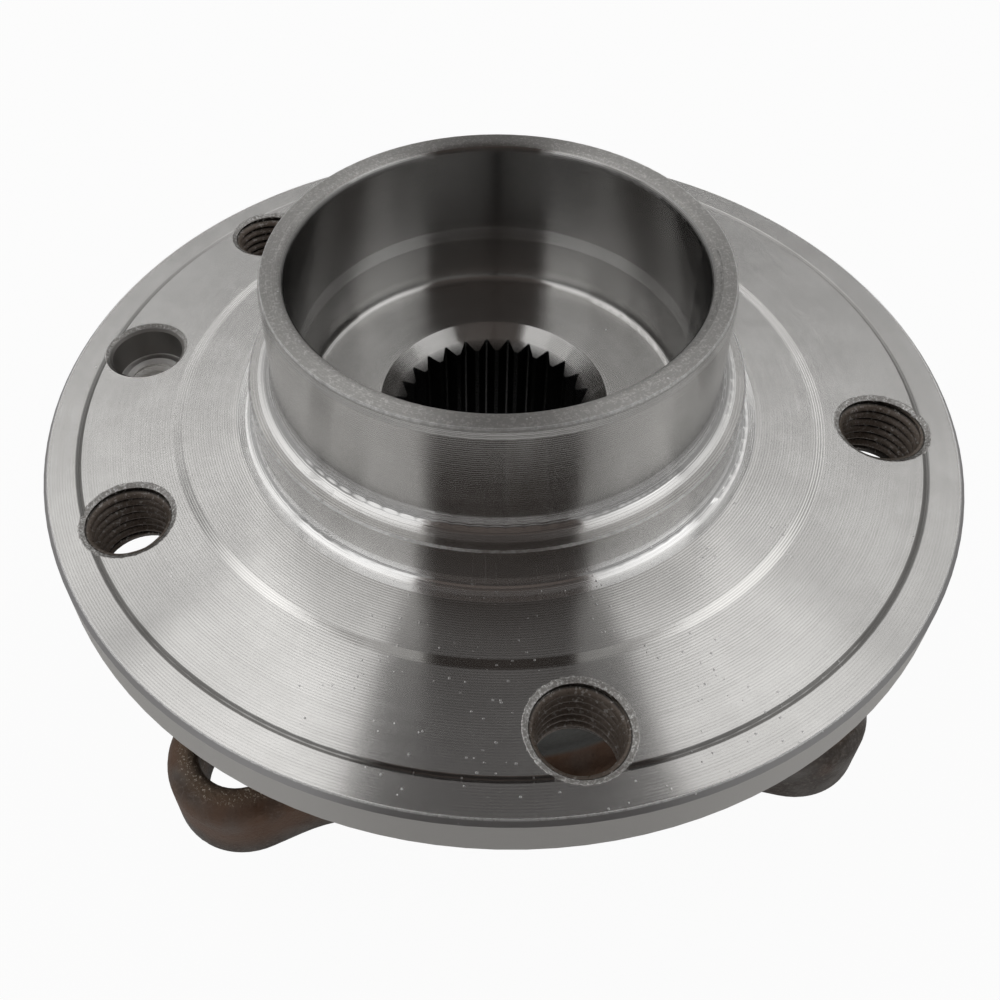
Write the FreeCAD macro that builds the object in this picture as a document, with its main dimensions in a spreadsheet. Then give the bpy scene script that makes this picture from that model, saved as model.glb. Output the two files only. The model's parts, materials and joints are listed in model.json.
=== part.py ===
"""Driven wheel hub bearing: a flanged spindle that turns on two rows of balls in a bolted outer ring.

Millimetres. +Z is the axis of rotation and points outboard, towards the wheel. The origin is the
centre of the flange face that the brake disc seats on. +Y runs through the third ear of the outer
ring. Every size below is a cell of the sheet, and every sketch, hole and pattern reads those cells.
"""
import FreeCAD, Part
import math
import os
import re
import Sketcher

# Driving dimensions: alias, value, what it measures
SIZES = [
    ("flange_radius", 67.7, "outer radius of the wheel flange"),
    ("flange_thickness", 6.9, "thickness of the wheel flange at its rim"),
    ("flange_chamfer", 0.6, "edge break of the wheel flange"),
    ("bolt_circle", 57.15, "radius of the circle through the wheel-bolt holes"),
    ("bolt_count", 5, "number of wheel-bolt holes"),
    ("bolt_turn", -15.4, "direction of the first wheel-bolt hole, degrees from +X"),
    ("bolt_thread", 6.0, "major radius of the wheel-bolt thread"),
    ("bolt_mouth", 6.65, "radius of the countersunk mouth of a wheel-bolt hole"),
    ("bolt_sink", 120, "angle of that countersink, degrees"),
    ("boss_radius", 8.3, "radius of the boss behind each wheel-bolt hole"),
    ("boss_depth", 11.4, "depth of those bosses below the flange face"),
    ("screw_circle", 56.8, "distance of the disc-screw hole from the axis"),
    ("screw_mouth", 6.5, "radius of the countersunk mouth of the disc-screw hole"),
    ("screw_sink", 90, "angle of that countersink, degrees"),
    ("screw_bore", 5.6, "radius of its counterbore"),
    ("screw_seat", 6.0, "depth of its counterbore"),
    ("screw_thread", 4.0, "major radius of its thread"),
    ("screw_boss", 8.2, "radius of the boss behind it"),
    ("groove_inset", 5.05, "distance from the flange rim to the middle of the turned groove"),
    ("groove_circle", "=flange_radius - groove_inset", "radius of that groove"),
    ("groove_width", 0.9, "width of that groove at the face"),
    ("groove_depth", 0.35, "depth of that groove"),
    ("line_circle", 48.25, "radius of the fine slope where the seating face begins"),
    ("line_width", 1.5, "width of that slope"),
    ("line_depth", 0.12, "height of that slope"),
    ("pilot_radius", 33.0, "radius of the spigot that centres the wheel"),
    ("pilot_height", 24.8, "height of the pilot rim above the flange face"),
    ("lead_height", 1.5, "height of the lead-in taper of the pilot rim"),
    ("lead_width", 0.4, "width of that taper"),
    ("rim_round", 1.5, "round of the pilot rim's inner edge"),
    ("cup_radius", 29.3, "radius of the recess inside the pilot"),
    ("cup_depth", 1.8, "depth of the recess floor below the flange face"),
    ("cup_round", 1.3, "round between the recess wall and its floor"),
    ("disc_radius", 36.7, "radius of the spigot that centres the brake disc"),
    ("disc_height", 6.9, "height of the disc spigot above the flange face"),
    ("ledge_round", 2.2, "round between the pilot and the ledge of the disc spigot"),
    ("ledge_chamfer", 0.25, "edge break of that ledge"),
    ("relief_radius", 39.3, "outer radius of the turned relief at the foot of the disc spigot"),
    ("relief_round", 1.5, "round at the bottom of that relief"),
    ("relief_depth", 0.5, "depth of that relief below the flange face"),
    ("spline_count", 27, "number of spline grooves"),
    ("spline_major", 15.4, "radius at the bottom of the spline grooves"),
    ("spline_minor", 14.1, "radius over the tips of the spline teeth"),
    ("spline_tip", 0.3, "half width of a spline tooth at its tip"),
    ("mouth_radius", 17.5, "radius of the countersink at the outboard end of the spline"),
    ("shaft_radius", 16.2, "radius of the plain bore for the drive shaft's shoulder"),
    ("shaft_depth", 6.0, "depth of that bore from the inboard end"),
    ("web_radius", 47.5, "radius where the flange web begins to thicken"),
    ("root_step", 7.9, "width of the thick root of the flange outside that land"),
    ("root_radius", "=land_radius + root_step", "radius where the thick root of the flange ends"),
    ("root_depth", 11.6, "depth of the flange root below the flange face"),
    ("land_step", 3.6, "height of the outboard seal's land above that shoulder"),
    ("land_radius", "=inner_shoulder + land_step", "radius of the land that the outboard seal runs on"),
    ("land_round", 2.0, "round between that land and the flange root"),
    ("land_end", 19.8, "depth where that land ends"),
    ("ball_radius", 6.35, "radius of a ball"),
    ("ball_gap", 1.6, "least gap between neighbouring balls"),
    ("ball_count", "=floor(180 deg / asin((ball_radius + ball_gap / 2) / pitch_radius))", "balls in each row"),
    ("pitch_radius", 30.0, "radius of the circle through the ball centres"),
    ("row_outboard", 28.0, "depth of the outboard ball row below the flange face"),
    ("row_inboard", 51.0, "depth of the inboard ball row below the flange face"),
    ("contact_angle", 38, "contact angle of both rows, degrees"),
    ("race_radius", 6.6, "radius of the raceway groove across the rolling direction"),
    ("race_gap", 0.1, "running gap between a ball and its raceway"),
    ("shoulder_drop", 3.0, "distance of the inner raceways' shoulder inside the ball circle"),
    ("inner_shoulder", "=pitch_radius - shoulder_drop", "radius of the raised shoulder of the inner raceways"),
    ("shoulder_rise", 3.2, "distance of the outer raceways' shoulder outside the ball circle"),
    ("outer_shoulder", "=pitch_radius + shoulder_rise", "radius of the raised shoulder between the outer raceways"),
    ("seat_radius", 19.0, "radius of the seat that carries the inner ring"),
    ("inner_split", 39.5, "depth of the face where the inner ring meets the spindle"),
    ("inner_end", 63.2, "depth of the inboard end of the inner ring"),
    ("inner_chamfer", 1.0, "edge break of the inner ring's bore"),
    ("inner_break", "=min(inner_chamfer, (pitch_radius - race_radius - seat_radius) / 3)",
     "that edge break where the inner rings meet, at most a third of the wall there"),
    ("collar_radius", 24.4, "radius of the rolled collar that holds the inner ring"),
    ("collar_end", 67.2, "depth of the inboard end of the collar"),
    ("collar_round", 1.8, "round of the collar's edges"),
    ("barrel_step", 1.0, "step from the spigot up to the barrel"),
    ("barrel_radius", "=spigot_radius + barrel_step", "radius of the outer ring outboard of its ears"),
    ("barrel_chamfer", 1.5, "edge break at the outboard end of the outer ring"),
    ("outer_top", 15.6, "depth of the outboard end of the outer ring"),
    ("outer_end", 63.0, "depth of the inboard end of the outer ring"),
    ("seal_rise", 7.0, "distance of the seal seats outside the ball circle"),
    ("seal_bore", "=pitch_radius + seal_rise", "radius of the seal seats in the outer ring"),
    ("seal_seat", 5.6, "depth of each seal seat from its end of the ring"),
    ("spigot_wall", 4.0, "wall of the outer ring at its inboard seal seat"),
    ("spigot_radius", "=seal_bore + spigot_wall", "radius of the spigot that enters the steering knuckle"),
    ("spigot_chamfer", 1.2, "lead-in of that spigot"),
    ("plate_top", 37.8, "depth of the outboard side of the ears"),
    ("plate_bottom", 50.7, "depth of the face that bolts to the steering knuckle"),
    ("plate_step", 6.0, "width of the plate outside the barrel"),
    ("plate_radius", "=barrel_radius + plate_step", "radius of the plate between the ears"),
    ("ear_circle", 55.2, "distance of the ear holes from the axis"),
    ("ear_radius", 11.8, "radius of an ear about its hole"),
    ("ear_flare", 20, "angle at which the flanks of an ear widen, degrees"),
    ("ear_hole", 6.75, "radius of an ear hole"),
    ("ear_hole_round", 1.3, "round of the outboard edge of an ear hole"),
    ("ear_hole_chamfer", 0.9, "edge break of its inboard edge"),
    ("ear_turn_left", -141.3, "direction of the first ear, degrees from +X"),
    ("ear_turn_right", -38.7, "direction of the second ear"),
    ("ear_turn_back", 90, "direction of the third ear"),
    ("ear_blend", 25.0, "round between an ear and the plate"),
    ("ear_round", 3.6, "round of the ears' outboard edge"),
    ("ear_edge", 1.5, "round of the ears' inboard edge"),
    ("foot_round", 3.0, "round where the barrel meets the ears"),
    ("cage_drop", 1.7, "depth of a cage inside the ball circle"),
    ("cage_inner", "=pitch_radius - cage_drop", "inner radius of a cage"),
    ("cage_rise", 2.2, "height of a cage outside the ball circle"),
    ("cage_outer", "=pitch_radius + cage_rise", "outer radius of a cage"),
    ("cage_back", 8.1, "distance from the ball centres to the closed side of a cage"),
    ("cage_front", 2.2, "distance from the ball centres to the open side of a cage"),
    ("pocket_radius", 6.6, "radius of a cage pocket"),
    ("sheet_gauge", 0.7, "thickness of the pressed seal parts"),
    ("seal_inset", 0.4, "distance of a seal from the end of the outer ring"),
    ("core_depth", 4.0, "length of the outboard seal's pressed core along its seat"),
    ("core_reach", 2.2, "distance of that core's inner edge from the land"),
    ("lip_gap", 0.12, "running gap of a seal lip"),
    ("encoder_gauge", 0.9, "thickness of the magnetised ring"),
]

doc = FreeCAD.newDocument("WheelHubBearing")
sheet = doc.addObject("Spreadsheet::Sheet", "Sizes")
for row, (alias, value, note) in enumerate(SIZES, 1):
    sheet.set(f"A{row}", note)
    sheet.set(f"B{row}", str(value))
    sheet.setAlias(f"B{row}", alias)
doc.recompute()
ALIASES = {alias for alias, value, note in SIZES}


def bound(text):
    """The same formula with each alias written as a cell of the sheet."""
    return re.sub(r"[a-z_]+", lambda word: "Sizes." + word.group() if word.group() in ALIASES
                  else word.group(), text)


def number(text):
    """The present value of a formula, used to draw a sketch close to its solved shape."""
    return float(sheet.evalExpression(bound(text)))


def whole(alias):
    """A count from the sheet."""
    return int(round(sheet.get(alias)))


# Sketch helpers
def new_body(label):
    """A body whose label names the piece and its file."""
    body = doc.addObject("PartDesign::Body", label)
    body.Label = label
    return body


def new_sketch(body, name, role, height=None, turn=None):
    """A sketch on one of the body's origin planes, lifted to a height and turned about the axis."""
    sketch = body.newObject("Sketcher::SketchObject", name)
    plane = next(item for item in body.Origin.OriginFeatures if item.Role == role)
    sketch.AttachmentSupport = [(plane, "")]
    sketch.MapMode = "FlatFace"
    if height:
        sketch.setExpression("AttachmentOffset.Base.z", bound(height))
    if turn:
        sketch.AttachmentOffset = FreeCAD.Placement(FreeCAD.Vector(), FreeCAD.Rotation(FreeCAD.Vector(0, 0, 1), 1))
        sketch.setExpression("AttachmentOffset.Rotation.Angle", bound(turn))
    return sketch


def pin(sketch, kind, *place):
    """A dimension that is bound to a formula: its kind, what it measures, and the formula last."""
    *items, text = place
    index = sketch.addConstraint(Sketcher.Constraint(kind, *items, number(text)))
    sketch.setExpression(f"Constraints[{index}]", bound(text))


def arc_between(start, end, radius, turn):
    """The shorter arc from start to end that turns to the left (1) or to the right (-1)."""
    chord = end - start
    middle = (start + end) * 0.5
    reach = math.sqrt(max(radius ** 2 - (chord.Length / 2) ** 2, 0))
    side = FreeCAD.Vector(-chord.y, chord.x, 0).normalize() * turn
    centre = middle + side * reach
    first, last = (start, end) if turn > 0 else (end, start)
    angles = [math.atan2(point.y - centre.y, point.x - centre.x) for point in (first, last)]
    circle = Part.Circle(centre, FreeCAD.Vector(0, 0, 1), radius)
    return Part.ArcOfCircle(circle, angles[0], angles[1])


def outline(body, name, corners, role="XZ_Plane", **place):
    """A closed outline. A corner is (x, y), reached in a straight line, or (x, y, turn, radius),
    reached along an arc that turns to the left (1) or to the right (-1)."""
    sketch = new_sketch(body, name, role, **place)
    points = [FreeCAD.Vector(number(corner[0]), number(corner[1]), 0) for corner in corners]
    ends = []
    for index, corner in enumerate(corners):
        start, end = points[index - 1], points[index]
        if len(corner) == 2:
            edge = sketch.addGeometry(Part.LineSegment(start, end))
            ends.append((edge, 1, 2))
        else:
            edge = sketch.addGeometry(arc_between(start, end, number(corner[3]), corner[2]))
            ends.append((edge, 1, 2) if corner[2] > 0 else (edge, 2, 1))
    for index, corner in enumerate(corners):
        edge, first, last = ends[index]
        following = ends[(index + 1) % len(ends)]
        sketch.addConstraint(Sketcher.Constraint("Coincident", edge, last, following[0], following[1]))
        pin(sketch, "DistanceX", edge, last, corner[0])
        pin(sketch, "DistanceY", edge, last, corner[1])
        if len(corner) == 4:
            pin(sketch, "Radius", edge, corner[3])
    return sketch


def circle_at(body, name, x, y, radius, height=None):
    """A sketch with one circle, for a round pad, pocket or hole along the axis."""
    sketch = new_sketch(body, name, "XY_Plane", height)
    centre = FreeCAD.Vector(number(x), number(y), 0)
    edge = sketch.addGeometry(Part.Circle(centre, FreeCAD.Vector(0, 0, 1), number(radius)))
    pin(sketch, "DistanceX", edge, 3, x)
    pin(sketch, "DistanceY", edge, 3, y)
    pin(sketch, "Radius", edge, radius)
    return sketch


# Feature helpers
def turned(body, name, corners):
    """Material added by turning an outline about the axis."""
    feature = body.newObject("PartDesign::Revolution", name)
    feature.Profile = outline(body, name + "Outline", corners)
    feature.ReferenceAxis = (feature.Profile[0], ["V_Axis"])
    feature.Angle = 360
    doc.recompute()
    return feature


def padded(body, name, sketch, length):
    """Material added upwards from a sketch."""
    feature = body.newObject("PartDesign::Pad", name)
    feature.Profile = sketch
    feature.setExpression("Length", bound(length))
    doc.recompute()
    return feature


def drilled(body, name, sketch, radius, mouth, angle, depth=None):
    """A round hole with a countersunk mouth on the sketch's plane, right through or to a depth."""
    feature = body.newObject("PartDesign::Hole", name)
    feature.Profile = sketch
    doc.recompute()
    feature.Threaded = False
    feature.ThreadType = 0
    feature.DepthType = "Dimension" if depth else "ThroughAll"
    feature.DrillPoint = "Flat"
    feature.HoleCutType = "Countersink"
    feature.HoleCutCustomValues = True
    feature.setExpression("Diameter", bound(f"2 * ({radius})"))
    feature.setExpression("HoleCutDiameter", bound(f"2 * ({mouth})"))
    feature.setExpression("HoleCutCountersinkAngle", bound(angle))
    if depth:
        feature.setExpression("Depth", bound(depth))
    doc.recompute()
    return feature


def round_pattern(body, name, originals, count):
    """Features repeated evenly about the axis."""
    feature = body.newObject("PartDesign::PolarPattern", name)
    feature.Originals = originals
    axis = next(item for item in body.Origin.OriginFeatures if item.Role == "Z_Axis")
    feature.Axis = (axis, [""])
    feature.Angle = 360
    feature.setExpression("Occurrences", bound(count))
    body.Tip = feature
    doc.recompute()
    return feature


def rounded(body, name, radius, wanted):
    """A round on those edges of the body that pass a test on their length and end points."""
    base = body.Tip
    names = [f"Edge{index}" for index, edge in enumerate(base.Shape.Edges, 1) if wanted(edge)]
    feature = body.newObject("PartDesign::Fillet", name)
    feature.Base = (base, names)
    feature.setExpression("Radius", bound(radius))
    body.Tip = feature
    doc.recompute()
    return feature


# Raceways: each groove is an arc whose centre lies off the ball centre, along the contact line
RACE_SHIFT = "(race_radius - ball_radius - race_gap)"
INNER_CENTRE = f"(pitch_radius + {RACE_SHIFT} * cos(contact_angle))"
OUTER_CENTRE = f"(pitch_radius - {RACE_SHIFT} * cos(contact_angle))"
CENTRE_DROP = f"({RACE_SHIFT} * sin(contact_angle))"
INNER_REACH = f"sqrt(race_radius * race_radius - ({INNER_CENTRE} - inner_shoulder) * ({INNER_CENTRE} - inner_shoulder))"
OUTER_REACH = f"sqrt(race_radius * race_radius - (outer_shoulder - {OUTER_CENTRE}) * (outer_shoulder - {OUTER_CENTRE}))"
INNER_BOTTOM = f"({INNER_CENTRE} - race_radius)"
OUTER_BOTTOM = f"({OUTER_CENTRE} + race_radius)"


# Hub: wheel flange, pilot, splined spindle and outboard inner raceway in one forging
def make_hub():
    body = new_body("hub_flange")
    turned(body, "HubSection", [
        ("pilot_radius - lead_width", "pilot_height"),
        ("cup_radius + rim_round", "pilot_height"),
        ("cup_radius", "pilot_height - rim_round", 1, "rim_round"),
        ("cup_radius", "cup_round - cup_depth"),
        ("cup_radius - cup_round", "-cup_depth", -1, "cup_round"),
        ("mouth_radius", "-cup_depth"),
        ("spline_minor", "spline_minor - mouth_radius - cup_depth"),
        ("spline_minor", "shaft_depth + (shaft_radius - spline_minor) - collar_end"),
        ("shaft_radius", "shaft_depth - collar_end"),
        ("shaft_radius", "inner_chamfer - collar_end"),
        ("shaft_radius + inner_chamfer", "-collar_end"),
        ("collar_radius - collar_round", "-collar_end"),
        ("collar_radius", "collar_round - collar_end", 1, "collar_round"),
        ("collar_radius", "-inner_end"),
        ("seat_radius", "-inner_end"),
        ("seat_radius", "-inner_split"),
        (f"{INNER_BOTTOM}", "-inner_split"),
        (f"{INNER_BOTTOM}", f"-row_outboard - {CENTRE_DROP}"),
        ("inner_shoulder", f"-row_outboard - {CENTRE_DROP} + {INNER_REACH}", -1, "race_radius"),
        ("inner_shoulder", "-land_end"),
        ("land_radius", "-land_end"),
        ("land_radius", "-root_depth - land_round"),
        ("land_radius + land_round", "-root_depth", -1, "land_round"),
        ("root_radius", "-root_depth"),
        ("web_radius", "-flange_thickness"),
        ("flange_radius - flange_chamfer", "-flange_thickness"),
        ("flange_radius", "flange_chamfer - flange_thickness"),
        ("flange_radius", "-flange_chamfer"),
        ("flange_radius - flange_chamfer", "0"),
        ("groove_circle + groove_width / 2", "0"),
        ("groove_circle", "-groove_depth"),
        ("groove_circle - groove_width / 2", "0"),
        ("line_circle + line_width / 2", "0"),
        ("line_circle - line_width / 2", "-line_depth"),
        ("relief_radius", "-line_depth"),
        ("disc_radius + relief_round", "-relief_depth"),
        ("disc_radius", "relief_round - relief_depth", -1, "relief_round"),
        ("disc_radius", "disc_height - ledge_chamfer"),
        ("disc_radius - ledge_chamfer", "disc_height"),
        ("pilot_radius + ledge_round", "disc_height"),
        ("pilot_radius", "disc_height + ledge_round", -1, "ledge_round"),
        ("pilot_radius", "pilot_height - lead_height"),
    ])
    bolt_x = "bolt_circle * cos(bolt_turn)"
    bolt_y = "bolt_circle * sin(bolt_turn)"
    screw_turn = "(bolt_turn + 180)"
    screw_x = f"screw_circle * cos{screw_turn}"
    screw_y = f"screw_circle * sin{screw_turn}"
    boss = padded(body, "BoltBoss", circle_at(body, "BoltBossCircle", bolt_x, bolt_y, "boss_radius",
                                              "-boss_depth"), "boss_depth - flange_thickness / 2")
    round_pattern(body, "BoltBosses", [boss], "bolt_count")
    padded(body, "ScrewBoss", circle_at(body, "ScrewBossCircle", screw_x, screw_y, "screw_boss",
                                        "-boss_depth"), "boss_depth - flange_thickness / 2")
    hole = drilled(body, "BoltHole", circle_at(body, "BoltHoleCircle", bolt_x, bolt_y, "bolt_thread"),
                   "bolt_thread", "bolt_mouth", "bolt_sink")
    round_pattern(body, "BoltHoles", [hole], "bolt_count")
    drilled(body, "ScrewSeat", circle_at(body, "ScrewSeatCircle", screw_x, screw_y, "screw_bore"),
            "screw_bore", "screw_mouth", "screw_sink", "screw_seat")
    drilled(body, "ScrewHole", circle_at(body, "ScrewHoleCircle", screw_x, screw_y, "screw_thread",
                                         "-screw_seat"), "screw_thread", "screw_thread + flange_chamfer", "screw_sink")
    groove = body.newObject("PartDesign::Pocket", "SplineGroove")
    groove.Profile = spline_outline(body)
    groove.Midplane = True
    groove.Type = "ThroughAll"
    doc.recompute()
    round_pattern(body, "Spline", [groove], "spline_count")
    return body


def is_circle(edge, radius):
    """True for a circular edge of the given radius."""
    return hasattr(edge.Curve, "Radius") and abs(edge.Curve.Radius - number(radius)) < 1e-4


def spline_outline(body):
    """The space between two spline teeth: a V that ends in a narrow flat at the major radius."""
    half_pitch = "180 / spline_count"
    inner = "(spline_minor - 1)"
    half_gap = f"(spline_minor * sin({half_pitch}) - spline_tip)"
    flat = "spline_tip / 2"
    return outline(body, "SplineGrooveOutline", [
        (inner, f"-{half_gap}"),
        ("spline_minor * cos(180 / spline_count)", f"-{half_gap}"),
        ("spline_major", f"-{flat}"),
        ("spline_major", flat),
        ("spline_minor * cos(180 / spline_count)", half_gap),
        (inner, half_gap),
    ], role="XY_Plane", turn="180 / spline_count")


# Inner ring: carries the inboard inner raceway and is held by the rolled collar
def make_inner_ring():
    body = new_body("inner_ring")
    turned(body, "InnerRingSection", [
        ("seat_radius", "-inner_split - inner_break"),
        ("seat_radius", "-inner_end"),
        ("inner_shoulder", "-inner_end"),
        ("inner_shoulder", f"-row_inboard + {CENTRE_DROP} - {INNER_REACH}"),
        (f"{INNER_BOTTOM}", f"-row_inboard + {CENTRE_DROP}", -1, "race_radius"),
        (f"{INNER_BOTTOM}", "-inner_split"),
        ("seat_radius + inner_break", "-inner_split"),
    ])
    return body


# Outer ring: both outer raceways, the knuckle spigot and three ears
def make_outer_ring():
    body = new_body("outer_ring")
    plate = circle_at(body, "PlateCircle", "0", "0", "plate_radius", "-plate_bottom")
    padded(body, "Plate", plate, "plate_bottom - plate_top")
    for side in ("left", "right", "back"):
        padded(body, f"Ear_{side}", ear_outline(body, side), "plate_bottom - plate_top")
    rounded(body, "EarBlends", "ear_blend", stands_in_corner)
    rounded(body, "EarRounds", "ear_round", lambda edge: lies_at(edge, "-plate_top"))
    rounded(body, "EarEdges", "ear_edge", lambda edge: lies_at(edge, "-plate_bottom"))
    for side in ("left", "right", "back"):
        cut_ear_hole(body, side)
    turned(body, "Barrel", [
        ("barrel_radius - barrel_chamfer", "-outer_top"),
        ("outer_shoulder - 1", "-outer_top"),
        ("outer_shoulder - 1", "-outer_end"),
        ("spigot_radius - spigot_chamfer", "-outer_end"),
        ("spigot_radius", "spigot_chamfer - outer_end"),
        ("spigot_radius", "-plate_bottom"),
        ("barrel_radius", "-plate_bottom + 1"),
        ("barrel_radius", "-plate_top"),
        ("barrel_radius", "-outer_top - barrel_chamfer"),
    ])
    bore = body.newObject("PartDesign::Groove", "Raceways")
    bore.Profile = outline(body, "RacewaysOutline", [
        ("0", "1 - outer_top"),
        ("0", "-outer_end - 1"),
        ("seal_bore", "-outer_end - 1"),
        ("seal_bore", "seal_seat - outer_end"),
        (f"{OUTER_BOTTOM}", f"seal_seat - outer_end + (seal_bore - {OUTER_BOTTOM})"),
        (f"{OUTER_BOTTOM}", f"-row_inboard - {CENTRE_DROP}"),
        ("outer_shoulder", f"-row_inboard - {CENTRE_DROP} + {OUTER_REACH}", 1, "race_radius"),
        ("outer_shoulder", f"-row_outboard + {CENTRE_DROP} - {OUTER_REACH}"),
        (f"{OUTER_BOTTOM}", f"-row_outboard + {CENTRE_DROP}", 1, "race_radius"),
        (f"{OUTER_BOTTOM}", f"-seal_seat - outer_top - (seal_bore - {OUTER_BOTTOM})"),
        ("seal_bore", "-seal_seat - outer_top"),
        ("seal_bore", "1 - outer_top"),
    ])
    bore.ReferenceAxis = (bore.Profile[0], ["V_Axis"])
    bore.Angle = 360
    doc.recompute()
    rounded(body, "BarrelFoot", "foot_round",
            lambda edge: lies_at(edge, "-plate_top") and is_circle(edge, "barrel_radius"))
    return body


def ear_outline(body, side):
    """An ear, drawn along +X and turned to its place: an arc about the hole and two flared flanks."""
    tangent_x = "ear_circle + ear_radius * sin(ear_flare)"
    tangent_y = "ear_radius * cos(ear_flare)"
    inner_x = "barrel_radius - 6"
    inner_y = f"({tangent_y} + ({tangent_x} - ({inner_x})) * tan(ear_flare))"
    return outline(body, f"EarOutline_{side}", [
        (inner_x, f"-{inner_y}"),
        (tangent_x, f"-{tangent_y}"),
        (tangent_x, tangent_y, 1, "ear_radius"),
        (inner_x, inner_y),
    ], role="XY_Plane", height="-plate_bottom", turn=f"ear_turn_{side}")


def stands_in_corner(edge):
    """True for the upright edges where the flanks of the ears meet the round plate."""
    box = edge.BoundBox
    upright = box.ZLength > 1 and box.XLength < 1e-4 and box.YLength < 1e-4
    return upright and abs(math.hypot(box.XMin, box.YMin) - number("plate_radius")) < 1e-3


def lies_at(edge, height):
    """True for an edge that lies flat at a height."""
    box = edge.BoundBox
    return box.ZLength < 1e-4 and abs(box.ZMin - number(height)) < 1e-4


def cut_ear_hole(body, side):
    """A plain hole through an ear, with a rounded mouth and a broken far edge."""
    turn = f"ear_turn_{side}"
    x = f"ear_circle * cos({turn})"
    y = f"ear_circle * sin({turn})"
    pocket = body.newObject("PartDesign::Pocket", f"EarHole_{side}")
    pocket.Profile = circle_at(body, f"EarHoleCircle_{side}", x, y, "ear_hole", "-plate_top + 1")
    pocket.setExpression("Length", bound("plate_bottom - plate_top + 2"))
    body.Tip = pocket
    doc.recompute()
    rounded(body, f"EarHoleMouth_{side}", "ear_hole_round",
            lambda edge: rings_hole(edge, x, y) and lies_at(edge, "-plate_top"))
    base = body.Tip
    chamfer = body.newObject("PartDesign::Chamfer", f"EarHoleEdge_{side}")
    chamfer.Base = (base, [f"Edge{index}" for index, edge in enumerate(base.Shape.Edges, 1)
                           if rings_hole(edge, x, y) and lies_at(edge, "-plate_bottom")])
    chamfer.setExpression("Size", bound("ear_hole_chamfer"))
    body.Tip = chamfer
    doc.recompute()


def rings_hole(edge, x, y):
    """True for a circular edge of an ear hole at a place."""
    return is_circle(edge, "ear_hole") and math.hypot(edge.Curve.Center.x - number(x), edge.Curve.Center.y - number(y)) < 1e-3


# Balls and cages: two rows, set so that their contact lines spread towards the axis
def make_ball(row, index):
    """One ball in its place on the pitch circle."""
    ball = doc.addObject("Part::Sphere", f"ball_{row}_{index + 1:02d}")
    ball.Label = ball.Name
    turn = f"(90 + {index} * 360 / ball_count)"
    ball.setExpression("Radius", bound("ball_radius"))
    ball.setExpression("Placement.Base.x", bound(f"pitch_radius * cos{turn}"))
    ball.setExpression("Placement.Base.y", bound(f"pitch_radius * sin{turn}"))
    ball.setExpression("Placement.Base.z", bound(f"-row_{row}"))
    return ball


def make_cage(row, away):
    """A moulded crown cage: a ring with one round pocket for each ball, open on one side.
    away is 1 where the closed side of the cage faces outboard, and -1 where it faces inboard."""
    body = new_body(f"cage_{row}")
    back = f"{away} * cage_back - row_{row}"
    front = f"-{away} * cage_front - row_{row}"
    turned(body, f"Cage_{row}_Ring", [("cage_inner", back), ("cage_outer", back),
                                      ("cage_outer", front), ("cage_inner", front)])
    sketch = new_sketch(body, f"Cage_{row}_PocketOutline", "YZ_Plane")
    centre = FreeCAD.Vector(number("pitch_radius"), number(f"-row_{row}"), 0)
    reach = FreeCAD.Vector(0, number("pocket_radius"), 0)
    circle = Part.Circle(centre, FreeCAD.Vector(0, 0, 1), number("pocket_radius"))
    arc = sketch.addGeometry(Part.ArcOfCircle(circle, -math.pi / 2, math.pi / 2))
    side = sketch.addGeometry(Part.LineSegment(centre + reach, centre - reach))
    sketch.addConstraint(Sketcher.Constraint("Coincident", arc, 2, side, 1))
    sketch.addConstraint(Sketcher.Constraint("Coincident", side, 2, arc, 1))
    sketch.addConstraint(Sketcher.Constraint("PointOnObject", arc, 3, side))
    sketch.addConstraint(Sketcher.Constraint("Vertical", side))
    pin(sketch, "DistanceX", arc, 3, "pitch_radius")
    pin(sketch, "DistanceY", arc, 3, f"-row_{row}")
    pin(sketch, "Radius", arc, "pocket_radius")
    pocket = body.newObject("PartDesign::Groove", f"Cage_{row}_Pocket")
    pocket.Profile = sketch
    pocket.ReferenceAxis = (sketch, [f"Edge{side + 1}"])
    pocket.Angle = 360
    doc.recompute()
    round_pattern(body, f"Cage_{row}_Pockets", [pocket], "ball_count")
    return body


# Seals: a pressed core with moulded lips at each end, and a slinger with an encoder inboard
def make_outboard_seal():
    core = new_body("seal_outboard_core")
    turned(core, "OutboardCore", [
        ("seal_bore", "-outer_top - seal_inset"),
        ("seal_bore", "-outer_top - seal_inset - core_depth"),
        ("seal_bore - sheet_gauge", "-outer_top - seal_inset - core_depth"),
        ("seal_bore - sheet_gauge", "-outer_top - seal_inset - sheet_gauge"),
        ("land_radius + core_reach", "-outer_top - seal_inset - sheet_gauge"),
        ("land_radius + core_reach", "-outer_top - seal_inset"),
    ])
    lips = new_body("seal_outboard_lips")
    under = "-outer_top - seal_inset - sheet_gauge"
    turned(lips, "OutboardLips", [
        ("land_radius + 4", under),
        ("land_radius + 3.4", f"{under} - 0.8"),
        ("land_radius + 1.6", f"{under} - 0.9"),
        ("land_radius + lip_gap", f"{under} - 2.6"),
        ("land_radius + lip_gap", f"{under} - 2.0"),
        ("land_radius + 0.8", f"{under} - 0.4"),
        ("land_radius + lip_gap + 0.1", f"{under} + 1.4"),
        ("land_radius + lip_gap + 0.5", f"{under} + 1.5"),
        ("land_radius + 1.4", "-outer_top - seal_inset + 0.5"),
        ("land_radius + 3.1", "-outer_top - seal_inset + 0.5"),
        ("root_radius - 2.6", "-root_depth - lip_gap"),
        ("root_radius - 2.1", "-root_depth - lip_gap"),
        ("root_radius - 3.0", "-outer_top - seal_inset"),
        ("land_radius + core_reach", "-outer_top - seal_inset"),
        ("land_radius + core_reach", under),
    ])
    return [core, lips]


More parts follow.
